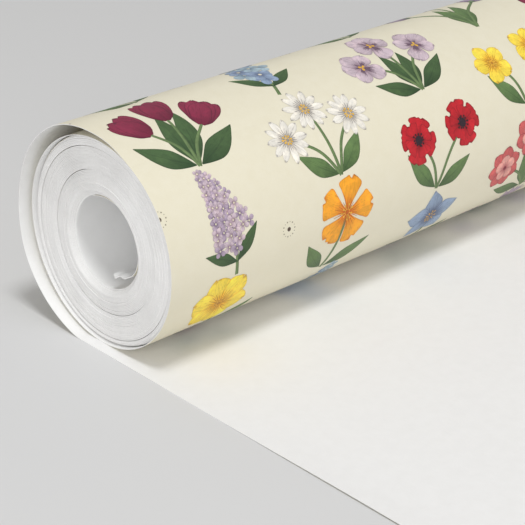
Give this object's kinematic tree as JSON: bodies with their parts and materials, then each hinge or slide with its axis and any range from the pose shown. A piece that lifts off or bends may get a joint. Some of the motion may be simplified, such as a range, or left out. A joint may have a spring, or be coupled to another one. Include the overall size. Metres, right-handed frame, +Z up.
{
  "type": "wrapping paper roll",
  "caption": "Coreless roll of printed gift-wrapping paper, partly unrolled, with a slack last turn and a laid-out sheet.",
  "frame": {"origin": "on the surface that the paper lies on, under the roll's axis, at the middle of the laid sheet's width", "axes": "+X along the roll's axis, +Z up, the laid-out sheet runs from the roll towards -Y"},
  "size_m": [0.5047, 0.3741, 0.0673],
  "materials": {
    "laid_sheet": "matte",
    "loose_turn": "matte",
    "printed_turn": "matte",
    "turn_edges": "matte",
    "inner_end": "matte"
  },
  "bodies": {
    "laid_paper": {"laid_sheet": "laid_sheet"},
    "slack_turn": {"loose_turn": "loose_turn"},
    "coil": {"printed_turn": "printed_turn", "outer_turns": "turn_edges"},
    "middle_pack": {"middle_turns": "turn_edges"},
    "inner_pack": {"inner_turns": "turn_edges", "inner_end": "inner_end"}
  },
  "joints": [
    {"name": "roll_travel", "type": "slide", "parent": "laid_paper", "child": "slack_turn", "axis": [0, 1, 0], "range_m": [-0.2039, 0.2039]},
    {"name": "coil_roll", "type": "hinge", "parent": "slack_turn", "child": "coil", "pos_m": [0, 0, 0.0326], "axis": [1, 0, 0], "range_deg": [-361, 361]},
    {"name": "middle_telescope", "type": "slide", "parent": "coil", "child": "middle_pack", "axis": [1, 0, 0], "range_m": [-0.012, 0.012]},
    {"name": "inner_telescope", "type": "slide", "parent": "middle_pack", "child": "inner_pack", "axis": [1, 0, 0], "range_m": [-0.012, 0.012]}
  ],
  "couplings": [
    {"joint": "coil_roll", "follows": "roll_travel", "rad_per_m": -30.815},
    {"joint": "inner_telescope", "follows": "middle_telescope", "ratio": 1}
  ]
}
